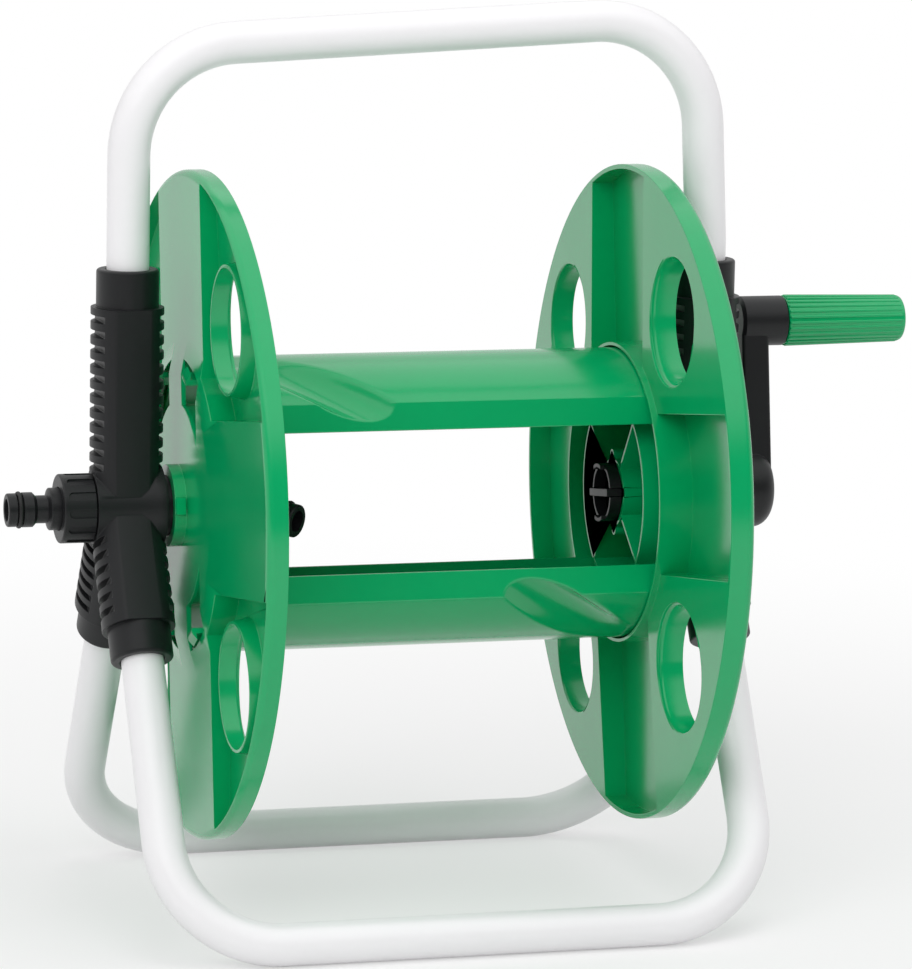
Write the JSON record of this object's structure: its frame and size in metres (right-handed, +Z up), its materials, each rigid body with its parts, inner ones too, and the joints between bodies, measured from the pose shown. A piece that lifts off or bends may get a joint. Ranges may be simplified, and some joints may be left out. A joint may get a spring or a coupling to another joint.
{
  "type": "freestanding hose reel",
  "caption": "Freestanding garden hose reel: a bent-tube stand with a carrying handle, a hand-cranked drum with holed side discs, and a water inlet through the hub.",
  "frame": {"origin": "on the floor, under the middle of the object's box, with the drum and crank as they stand in the picture", "axes": "+Z up; +X along the drum's axis, from the water inlet to the crank; +Y away from the side the picture was taken from"},
  "size_m": [0.4242, 0.2998, 0.412],
  "materials": {
    "handle_paint": "gloss white paint on steel tube",
    "front_leg_hoop_paint": "gloss white paint on steel tube",
    "rear_leg_hoop_paint": "gloss white paint on steel tube",
    "crank_bracket_plastic": "satin black moulding",
    "inlet_bracket_plastic": "satin black moulding",
    "shaft_plastic": "satin black moulding",
    "nut_plastic": "satin black moulding",
    "gasket_rubber": "matt black rubber",
    "nozzle_plastic": "satin black moulding",
    "nozzle_seal_rubber": "matt black rubber",
    "crank_flange_plastic": "glossy green moulding",
    "inlet_flange_plastic": "glossy green moulding",
    "upper_barrel_plate_plastic": "glossy green moulding",
    "lower_barrel_plate_plastic": "glossy green moulding",
    "elbow_plastic": "satin black moulding",
    "elbow_inner_seal_rubber": "matt black rubber",
    "elbow_outer_seal_rubber": "matt black rubber",
    "outlet_seal_rubber": "matt black rubber",
    "crank_plastic": "satin black moulding",
    "key_plastic": "satin black moulding",
    "grip_plastic": "glossy green moulding"
  },
  "bodies": {
    "stand": {"handle_hoop": "handle_paint", "front_leg_hoop": "front_leg_hoop_paint", "rear_leg_hoop": "rear_leg_hoop_paint", "crank_bracket": "crank_bracket_plastic", "inlet_bracket": "inlet_bracket_plastic", "water_shaft": "shaft_plastic", "union_nut": "nut_plastic", "union_gasket": "gasket_rubber", "inlet_nozzle": "nozzle_plastic", "nozzle_seal": "nozzle_seal_rubber"},
    "drum": {"crank_flange": "crank_flange_plastic", "inlet_flange": "inlet_flange_plastic", "upper_barrel_plate": "upper_barrel_plate_plastic", "lower_barrel_plate": "lower_barrel_plate_plastic", "outlet_elbow": "elbow_plastic", "elbow_inner_seal": "elbow_inner_seal_rubber", "elbow_outer_seal": "elbow_outer_seal_rubber", "outlet_seal": "outlet_seal_rubber", "crank_arm": "crank_plastic", "shaft_key": "key_plastic"},
    "handgrip": {"grip": "grip_plastic"}
  },
  "joints": [
    {"name": "drum_spin", "type": "hinge", "parent": "stand", "child": "drum", "pos_m": [-0.02295, 0, 0.1866], "axis": [1, 0, 0], "continuous": true},
    {"name": "grip_spin", "type": "hinge", "parent": "drum", "child": "handgrip", "pos_m": [0.15455, 0.01138, 0.26275], "axis": [1, 0, 0], "continuous": true}
  ]
}
